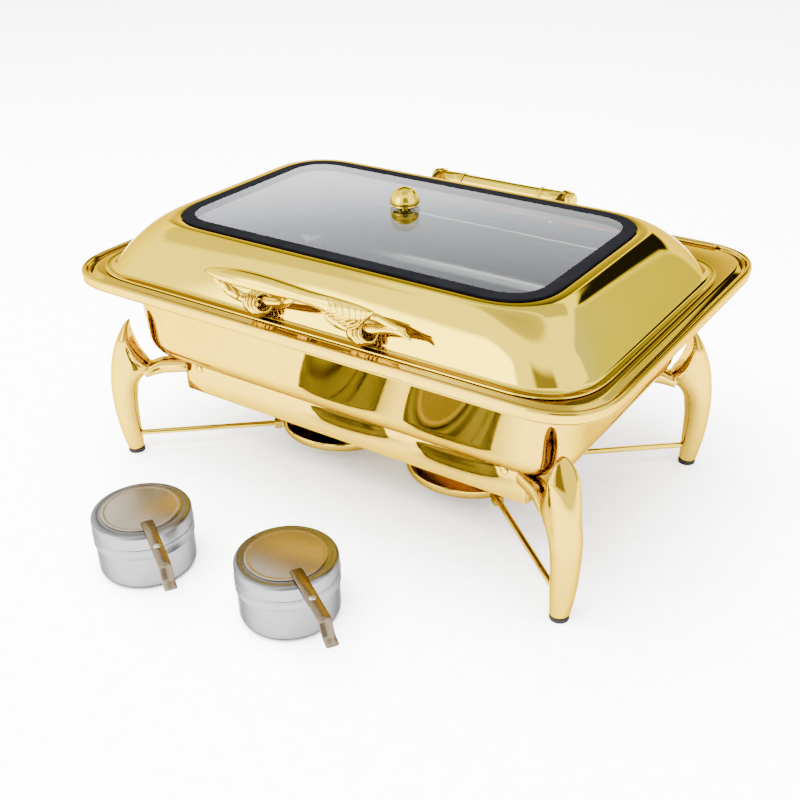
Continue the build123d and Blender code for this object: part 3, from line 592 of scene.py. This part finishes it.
def make_leg_mesh():
    """Horn-shaped leg and its arm at the +X +Y corner."""
    # by height: the leg's inner and outer edge along the diagonal, and its half width
    inner_z = (4.5, 26.6, 73.4, 89, 98, 105, 111, 117, 133.6, 149.7, 161, 170)
    inner = (58.3, 58.3, 56.6, 53.4, 47.5, 40, 35.5, 35.0, 42.6, 49.4, 52.4, 53.0)
    outer_z = (4.5, 13, 60, 103, 131, 155.9, 165, 170)
    outer = (76.6, 78.6, 85.2, 83.5, 77.1, 65.6, 59.4, 54.2)
    width_z = (4.5, 27, 61, 101, 133, 150, 160, 166, 169, 170)
    width = (9.8, 12.0, 13.8, 16.0, 16.4, 15.2, 10.8, 6.8, 3.8, 0.6)
    levels = [4.5, 5.0, 6.2, 9] + [9 + 4 * i for i in range(1, 36)] + [155, 159, 162, 164.5, 166.5, 168,
        169, 169.7, 170]
    loops = []
    count = 56
    for z in levels:
        low = curve_through(inner_z, inner, z)
        high = curve_through(outer_z, outer, z)
        half = curve_through(width_z, width, z)
        shrink = {4.5: 1.2, 5.0: 0.5, 6.2: 0.1}.get(z, 0.0)
        centre = (low + high) / 2
        depth = (high - low) / 2 - shrink
        half -= shrink
        hollow = 5.5 * min(max((z - 112) / 14, 0), 1) * min(max((168 - z) / 16, 0), 1)
        loop = []
        for i in range(count):
            turn = 2 * pi * i / count
            run = cos(turn)
            across = sin(turn)
            reach = centre + depth * run
            if run < 0:
                reach += hollow * (1 - across ** 2)
            loop.append(leg_point(reach, half * across, z))
        loops.append(loop)
    shaft = skin("leg_shaft", loops, True, True)
    # by distance from the corner: the arm's half width, top and underside
    arm_reach = (-7, 8, 25, 34, 42)
    arm_half = (9.4, 9.4, 9.8, 11, 12)
    arm_top = (122.3, 122.3, 121.4, 117.5, 113)
    arm_low = (105.2, 104.6, 103, 101, 98.5)
    loops = []
    for k in range(24):
        reach = arm_reach[0] + (arm_reach[-1] - arm_reach[0]) * k / 23
        half = curve_through(arm_reach, arm_half, reach)
        top = curve_through(arm_reach, arm_top, reach)
        low = curve_through(arm_reach, arm_low, reach)
        loop = []
        for i in range(40):
            turn = 2 * pi * i / 40
            across = abs(cos(turn)) ** 0.75 * (1 if cos(turn) > 0 else -1)
            upward = abs(sin(turn)) ** 0.75 * (1 if sin(turn) > 0 else -1)
            loop.append(leg_point(reach, half * across, (top + low) / 2 + (top - low) / 2 * upward))
        loops.append(loop)
    arm = skin("leg_arm", loops, True, True)
    mesh = merged("leg", [shaft, arm], 1.1, 10)
    # the arm ends on the two faces of the apron's corner
    for v in mesh.vertices:
        short_x = APRON_X * MM - v.co.x
        short_y = APRON_Y * MM - v.co.y
        if short_x > 0 and short_y > 0:
            if short_x < short_y:
                v.co.x += short_x
            else:
                v.co.y += short_y
    return mesh


def to_corner(mesh, sign_x, sign_y):
    """Copy of a mesh drawn at the +X +Y corner, mirrored to another corner."""
    copy = mesh.copy()
    copy.transform(Matrix.Diagonal((sign_x, sign_y, 1, 1)))
    if sign_x * sign_y < 0:
        copy.flip_normals()
    return copy


leg_mesh = make_leg_mesh()
pad_profile = [(0.3, 0), (8.4, 0), (9.2, 0.4), (9.6, 1.2), (9.6, 2.2), (9.3, 2.5), (9.6, 2.8), (9.6, 4.0),
               (9.3, 4.5), (0.3, 4.5)]
foot_x = APRON_X + LEG_OUT.x * FOOT_REACH
foot_y = APRON_Y + LEG_OUT.y * FOOT_REACH
for depth, sign_y in (("front", -1), ("back", 1)):
    for side, sign_x in (("left", -1), ("right", 1)):
        leg = link(bpy.data.objects.new(f"horn_leg_{depth}_{side}", to_corner(leg_mesh, sign_x, sign_y)))
        # painted shade: the legs get the darker copy of the gold
        place(leg, "gold_leg", "stand", f"leg_{depth}_{side}")
        foot = lathe(f"foot_cap_{depth}_{side}", pad_profile, (sign_x * foot_x, sign_y * foot_y),
                     steps=48)
        place(foot, "foot_rubber", "stand", f"foot_pad_{depth}_{side}")


# ---------------------------------------------------------------- handle
def ring_about(centre, across, up, radius, count):
    """Loop of points round a centre, in metres, in the plane of two directions."""
    turns = [2 * pi * i / count for i in range(count)]
    return [(centre + (across * cos(turn) + up * sin(turn)) * radius) * MM for turn in turns]


def section_loft(name, sections, count=36, rows=10):
    """Closed smooth form through oval sections: (centre, half height vector, half depth)."""
    steps = np.arange(len(sections), dtype=float)
    values = np.array([[*centre, *up, depth] for centre, up, depth in sections], float)
    loops = []
    total = (len(sections) - 1) * rows
    for k in range(total + 1):
        at = k / rows
        row = [curve_through(list(steps), list(values[:, c]), at) for c in range(7)]
        centre, up, depth = Vector(row[:3]), Vector(row[3:6]), row[6]
        side = Vector((0, 1, 0)) * depth
        loops.append(ring_about(centre, side, up, 1, count))
    return skin(name, loops, True, True)


def tube_along(name, points, radii, count=18, rows=8):
    """Round tapering rod through points."""
    steps = [float(i) for i in range(len(points))]
    path = []
    for k in range((len(points) - 1) * rows + 1):
        at = k / rows
        path.append(Vector([curve_through(steps, [p[c] for p in points], at) for c in range(3)]))
    loops = []
    for k, centre in enumerate(path):
        along = (path[min(k + 1, len(path) - 1)] - path[max(k - 1, 0)]).normalized()
        across = along.cross(Vector((0, 0, 1)))
        if across.length < 0.1:
            across = along.cross(Vector((0, 1, 0)))
        across.normalize()
        up = across.cross(along)
        radius = curve_through(steps, radii, k / rows)
        loops.append(ring_about(centre, across, up, radius, count))
    return skin(name, loops, True, True)


def ball(name, centre, radius):
    points = [(radius * cos(radians(a)), centre[2] + radius * sin(radians(a))) for a in range(-87, 88, 6)]
    return lathe(name, points, (centre[0], centre[1]), steps=40)


def hoop(name, centre, axis, radius, thick, count=44):
    """Ring of round wire about an axis."""
    axis = Vector(axis).normalized()
    across = axis.cross(Vector((0, 0, 1))).normalized()
    up = across.cross(axis)
    loops = []
    for k in range(count):
        turn = 2 * pi * k / count
        out = across * cos(turn) + up * sin(turn)
        loops.append(ring_about(Vector(centre) + out * radius, out, axis, thick, 12))
    return skin(name, loops, wrap=True)


# along the grip: centre, half height vector, half depth
GRIP_SECTIONS = [
    ((-94, -199, 279.6), (0.5, 0, 0.8), 0.8),
    ((-86, -200, 281.4), (0.6, 0, 3.4), 4.0),
    ((-70, -201, 282.4), (0.8, 0, 6.0), 7.4),
    ((-48, -201, 283.4), (0.5, 0, 7.9), 9.2),
    ((-22, -201, 283.8), (0.3, 0, 8.0), 9.2),
    ((6, -201, 283.4), (0.5, 0, 7.0), 8.4),
    ((30, -201, 282.8), (1.5, 0, 6.0), 7.4),
    ((50, -200.5, 281.0), (3.5, 0, 7.4), 6.8),
    ((62, -198.5, 277.6), (7.0, 0, 9.6), 6.6),
    ((74, -194.5, 272.6), (10.0, 0, 11.6), 6.0),
    ((83, -190.5, 268.0), (12.0, -1, 13.0), 5.0),
    ((86, -189.5, 267.2), (11.5, -1, 12.2), 3.6),
]
GRIP_COLUMNS = list(zip(*[(*centre, *up, depth) for centre, up, depth in GRIP_SECTIONS]))
GRIP_STEPS = [float(i) for i in range(len(GRIP_SECTIONS))]


def grip_point(at, turn, lift):
    """Point just over the grip's front, at a place along it and an angle up from its middle."""
    row = [curve_through(GRIP_STEPS, list(column), at) for column in GRIP_COLUMNS]
    centre, up, depth = Vector(row[:3]), Vector(row[3:6]), row[6]
    front = Vector((0, depth + lift, 0))
    return tuple(centre + up * sin(turn) * (1 + lift / up.length) - front * cos(turn))


def make_handle():
    """Cast handle: leaf-shaped grip on two wrapped ball knots, with twigs."""
    parts = [section_loft("grip_leaf", GRIP_SECTIONS)]
    for x in (KNOT_LEFT_X, KNOT_RIGHT_X):
        parts.append(ball("knot_ball", (x - 2.5, KNOT_Y - 1.5, KNOT_Z - 2), 10.8))
    front, back = -201, KNOT_Y
    parts += [
        tube_along("twig_a", [(-80, front + 1, 278), (-72, front + 4, 269), (-66, front + 9, 261),
                              (-57, front + 15, 255), (-44, back, 254)],
                   [3.6, 4.6, 5.2, 4.8, 4.6]),
        tube_along("twig_bud", [(-76, front + 2, 276), (-66, front + 4, 266), (-60, front + 8, 258)],
                   [2.0, 4.4, 3.0]),
        tube_along("twig_b", [(-36, back - 3, 256), (-20, back - 6, 259.5), (-6, back - 10, 264),
                              (6, front + 4, 271), (18, front, 277)],
                   [4.6, 4.4, 4.8, 3.4, 2.0]),
        tube_along("twig_spur", [(-16, back - 8, 261), (-6, back - 12, 267), (0, front + 5, 272)],
                   [2.6, 2.8, 1.6]),
        tube_along("twig_c", [(44, front + 4, 272), (52, front + 9, 263), (58, front + 15, 256),
                              (70, back - 2, 253)], [2.4, 5.2, 5.4, 4.0]),
        tube_along("tail_low", [(80, back - 3, 256), (94, back - 3, 259), (106, back - 5, 262.5),
                                (118, back - 7, 265), (126, back - 8, 264.5), (133, back - 8, 260)],
                   [5.0, 4.6, 3.8, 3.6, 2.8, 1.3]),
        tube_along("tail_high", [(84, back - 6, 272), (96, back - 5, 271.5), (106, back - 5, 269),
                                 (116, back - 6, 267.5), (127, back - 7, 268.5)],
                   [3.6, 3.6, 3.6, 3.2, 1.4]),
    ]
    mesh = merged("handle_casting", parts, 0.75, 5)
    return link(bpy.data.objects.new("handle_casting", mesh))


KNOT_LEFT_X, KNOT_RIGHT_X, KNOT_Y, KNOT_Z = -48.0, 74.0, -180.0, 252.7
place(make_handle(), "gold_cast", "lid", "handle_grip", "handle_knots", "handle_twigs")
for side, x in (("left", KNOT_LEFT_X), ("right", KNOT_RIGHT_X)):
    for k, (offset, radius) in enumerate(((3.2, 10.9), (6.9, 10.2), (10.4, 8.9))):
        middle = (x + offset, KNOT_Y - 1.5 - offset * 0.2, KNOT_Z - 1 + offset * 0.2)
        ring = hoop(f"knot_ring_{side}_{k}", middle, (1, -0.35, 0.45), radius, 1.95)
        place(ring, "gold_cast", "lid")
# feather of raised ribs on the wide end of the grip; places along it count its sections
FEATHER_START, FEATHER_STEP, FEATHER_LAG, FEATHER_TURN = 7.9, 0.43, 0.85, 1.2
for k in range(7):
    for side, sign in (("up", 1), ("down", -1)):
        points = []
        for share in (0, 0.25, 0.5, 0.75, 1):
            at = FEATHER_START + FEATHER_STEP * k - FEATHER_LAG * share
            points.append(grip_point(at, sign * FEATHER_TURN * share, 0.15))
        rib = tube_along(f"feather_rib_{k}_{side}", points, [0.9, 0.95, 0.9, 0.8, 0.4], count=10, rows=4)
        place(rib, "gold_cast", "lid")


# ---------------------------------------------------------------- fuel holders
def strap_point(centre, along, across, z):
    """Point in the strap's own directions, measured from the holder's axis."""
    angle = radians(STRAP_ANGLE)
    x = centre[0] + along * cos(angle) - across * sin(angle)
    y = centre[1] + along * sin(angle) + across * cos(angle)
    return Vector((x, y, z)) * MM


def make_strap(name, centre, low):
    """Flat bar that turns the disc: straight, then hooked down at its free end."""
    path = [(STRAP_START, 0), (STRAP_START + 1, 0), (60, 0), (STRAP_BEND - 3, 0), (STRAP_BEND - 1, -0.1),
            (STRAP_BEND + 0.8, -0.7), (STRAP_BEND + 2.3, -2.0), (STRAP_BEND + 6.6, -8.8),
            (STRAP_BEND + 8.0, -10.6), (STRAP_BEND + 10.0, -12.2), (STRAP_BEND + 12.4, -13.4),
            (STRAP_BEND + 17.6, -15.1), (STRAP_BEND + 18.6, -15.4)]
    loops = []
    half = STRAP_WIDTH / 2
    for k, (along, drop) in enumerate(path):
        before = path[max(k - 1, 0)]
        after = path[min(k + 1, len(path) - 1)]
        run, fall = after[0] - before[0], after[1] - before[1]
        length = (run ** 2 + fall ** 2) ** 0.5
        normal = (-fall / length, run / length)
        edge = half - (1.2 if k in (0, len(path) - 1) else 0.0)
        section = []
        for across, up in ((-edge, 0.35), (-edge, STRAP_THICK - 0.35), (-edge + 0.35, STRAP_THICK),
                           (edge - 0.35, STRAP_THICK), (edge, STRAP_THICK - 0.35), (edge, 0.35),
                           (edge - 0.35, 0), (-edge + 0.35, 0)):
            section.append(strap_point(centre, along + normal[0] * up, across,
                                       low + drop + normal[1] * up))
        loops.append(section)
    return skin(name, loops, True, True, sharp=50)


for side, centre in HOLDERS.items():
    profile = [(0.5, 0.9), (40, 0.9), (44.5, 2.2), (47.0, 6), (47.2, 9), (47.2, CUP_TOP - 0.3),
               (47.6, CUP_TOP), (HOLDER_RADIUS, CUP_TOP - 0.3), (HOLDER_RADIUS, 8)]
    profile += [(40 + 8 * cos(radians(a)), 8 - 8 * sin(radians(a))) for a in (15, 30, 45, 60, 75, 90)]
    profile += [(36, 0), (34.5, 0.5), (0.5, 0.5)]
    place(lathe(f"cup_body_{side}", profile, centre, steps=128), "steel_satin", f"fuel_cup_{side}",
          f"fuel_cup_{side}")
    top = HOLDER_HEIGHT
    skirt = top - LID_SKIRT
    radius = HOLDER_LID_RADIUS
    profile = [(48.2, skirt + 0.2), (48.9, skirt), (49.3, skirt + 0.4), (49.3, skirt + 1.2),
               (49.0, skirt + 1.6), (49.0, top - 17.4), (49.3, top - 17.1), (49.6, top - 16.0),
               (49.3, top - 14.9), (49.0, top - 14.6), (48.9, top - 4.2), (48.7, top - 2.6),
               (47.9, top - 1.2), (46.7, top - 0.3), (45.2, top), (42.2, top), (41.4, top - 0.25),
               (40.6, top), (30.4, top), (BURNER_HOLE, top - 0.3), (BURNER_HOLE, top - 0.7),
               (30.4, top - 0.8), (46.0, top - 0.8), (48.15, top - 2.5)]
    lid = lathe(f"cup_cover_{side}", profile, centre, steps=128, cap_start=False, cap_end=False)
    place(lid, "steel_satin", f"fuel_lid_{side}", f"fuel_lid_{side}")
    ear = [strap_point(centre, along, across, z) for z in (top - 3.4, top - 1.9) for along, across in
           ((46.5, -5), (74, -5), (77, -3.6), (78.4, 0), (77, 3.6), (74, 5), (46.5, 5))]
    ear_piece = skin(f"rivet_ear_{side}", [ear[:7], ear[7:]], True, True)
    place(ear_piece, "steel_satin", f"fuel_lid_{side}")
    low = top + 0.2
    profile = [(0.4, low), (DAMPER_RADIUS - 0.3, low), (DAMPER_RADIUS, low + 0.3),
               (DAMPER_RADIUS, low + 0.7), (DAMPER_RADIUS - 0.4, low + DAMPER_THICK),
               (35.8, low + DAMPER_THICK), (35.0, low + 0.75), (34.2, low + 0.75),
               (33.4, low + DAMPER_THICK), (0.4, low + DAMPER_THICK)]
    disc = lathe(f"damper_disc_{side}", profile, centre, steps=128)
    place(disc, "steel_damper", f"damper_{side}", f"damper_{side}")
    strap = make_strap(f"damper_strap_{side}", centre, low + DAMPER_THICK)
    place(strap, "steel_damper", f"damper_{side}")
    dress(strap, "strap")

# ---------------------------------------------------------------- camera and light
CAMERA_PLACE = Vector((0.59903, -0.88252 + STAND_BACK, 0.66854))
AZIMUTH = 34.33
ELEVATION = 29.2
ROLL = -0.976
LENS = 48.65
SHIFT = (-0.0049, 0.0011)
camera_data = bpy.data.cameras.new("camera")
camera = link(bpy.data.objects.new("camera", camera_data))
camera_data.lens = LENS
camera_data.sensor_width = 36.0
camera_data.shift_x, camera_data.shift_y = SHIFT
camera.matrix_world = (
    Matrix.Translation(CAMERA_PLACE)
    @ Matrix.Rotation(radians(AZIMUTH), 4, "Z")
    @ Matrix.Rotation(radians(90 - ELEVATION), 4, "X")
    @ Matrix.Rotation(radians(ROLL), 4, "Z")
)
bpy.context.scene.camera = camera

FLOOR_HALF = 9.0
FLOOR_COLOUR = (0.9, 0.898, 0.902)
WORLD_GLOW = 5.6
KEY_POWER = 1150
floor_corners = [(x * FLOOR_HALF, y * FLOOR_HALF, 0) for x, y in ((-1, -1), (1, -1), (1, 1), (-1, 1))]
floor = make_mesh("studio_floor", floor_corners, [(0, 1, 2, 3)])
floor.data.materials.append(plain_material("studio_paper", FLOOR_COLOUR, 0.6, 0.8, 60.0, 0.02))

world = bpy.data.worlds.new("studio")
bpy.context.scene.world = world
world.use_nodes = True
world.node_tree.nodes["Background"].inputs["Color"].default_value = (1.0, 1.0, 1.0, 1)
world.node_tree.nodes["Background"].inputs["Strength"].default_value = WORLD_GLOW


def softbox(name, place_at, aim, size_x, size_y, power):
    """Large soft light that mirrors don't show."""
    light_data = bpy.data.lights.new(name, "AREA")
    light_data.shape = "RECTANGLE"
    light_data.size = size_x
    light_data.size_y = size_y
    light_data.energy = power
    light = link(bpy.data.objects.new(name, light_data))
    light.location = place_at
    light.rotation_euler = (Vector(aim) - Vector(place_at)).to_track_quat("-Z", "Y").to_euler()
    light.visible_glossy = False


softbox("key_top", (-0.3, -0.5, 2.8), (0, 0, 0), 3.4, 3.0, KEY_POWER)


PANEL_CENTRE = 0.15  # height of the point that the panels stand round


def studio_panel(name, azimuth, elevation, glow_low, glow_high=None, tint=(1, 1, 1), feather=(5, 5, 5)):
    """Curved panel round the table that only polished metal and glass reflect.

    Its glow runs from the low edge to the high one; feather fades its sides,
    its low edge and its high edge over so many degrees.
    """
    distance = 2.4
    steps = 40
    if glow_high is None:
        glow_high = glow_low
    vertices, faces, glow, solid = [], [], [], []
    for j in range(steps + 1):
        for i in range(steps + 1):
            turn = azimuth[0] + (azimuth[1] - azimuth[0]) * i / steps
            rise = elevation[0] + (elevation[1] - elevation[0]) * j / steps
            vertices.append((distance * cos(radians(rise)) * cos(radians(turn)),
                             distance * cos(radians(rise)) * sin(radians(turn)),
                             distance * sin(radians(rise)) + PANEL_CENTRE))
            glow.append(glow_low * (glow_high / glow_low) ** (j / steps))
            shares = [min(turn - azimuth[0], azimuth[1] - turn) / feather[0] if feather[0] else 1,
                      (rise - elevation[0]) / feather[1] if feather[1] else 1,
                      (elevation[1] - rise) / feather[2] if feather[2] else 1]
            share = 1.0
            for value in shares:
                value = min(max(value, 0.0), 1.0)
                share *= value * value * (3 - 2 * value)
            solid.append(share)
    for j in range(steps):
        for i in range(steps):
            a = j * (steps + 1) + i
            faces.append((a, a + 1, a + steps + 2, a + steps + 1))
    panel = make_mesh(name, vertices, faces)
    for label, values in (("glow", glow), ("solid", solid)):
        panel.data.attributes.new(label, "FLOAT", "POINT").data.foreach_set("value", values)
    material = bpy.data.materials.new(name)
    material.use_nodes = True
    tree = material.node_tree
    tree.nodes.clear()
    output = tree.nodes.new("ShaderNodeOutputMaterial")
    mix_shader = tree.nodes.new("ShaderNodeMixShader")
    clear = tree.nodes.new("ShaderNodeBsdfTransparent")
    light = tree.nodes.new("ShaderNodeEmission")
    light.inputs["Color"].default_value = (*tint, 1)
    for label, socket in (("glow", light.inputs["Strength"]), ("solid", mix_shader.inputs[0])):
        attribute = tree.nodes.new("ShaderNodeAttribute")
        attribute.attribute_name = label
        tree.links.new(attribute.outputs["Fac"], socket)
    tree.links.new(clear.outputs[0], mix_shader.inputs[1])
    tree.links.new(light.outputs[0], mix_shader.inputs[2])
    tree.links.new(mix_shader.outputs[0], output.inputs[0])
    panel.data.materials.append(material)
    panel.visible_camera = False
    panel.visible_diffuse = False
    panel.visible_transmission = False
    panel.visible_shadow = False


studio_panel("panel_black", (66, 93), (18, 38), 0.04, feather=(3, 3, 3))
studio_panel("panel_grey", (28, 69), (-6, 42), 2.7, tint=(0.92, 1.0, 2.2))
# the wall behind darkens upwards
studio_panel("panel_behind", (94, 154), (17, 46), 5.0, 0.1, tint=(0.98, 0.99, 1.03), feather=(4, 6, 1))
studio_panel("panel_upper_back", (56, 154), (45, 66), 2.5, tint=(0.95, 1.0, 1.35), feather=(6, 1, 1))
studio_panel("panel_overhead", (0, 360), (64, 90), 2.8, 2.0, tint=(1.0, 1.0, 1.05), feather=(0, 8, 0))
studio_panel("panel_front_box", (224, 264), (2, 40), 15.0)
studio_panel("panel_left", (148, 214), (32, 62), 3.3, tint=(1.0, 0.99, 0.96))
studio_panel("panel_camera", (283, 337), (6, 54), 1.0, tint=(1.0, 0.95, 0.88), feather=(9, 4, 9))
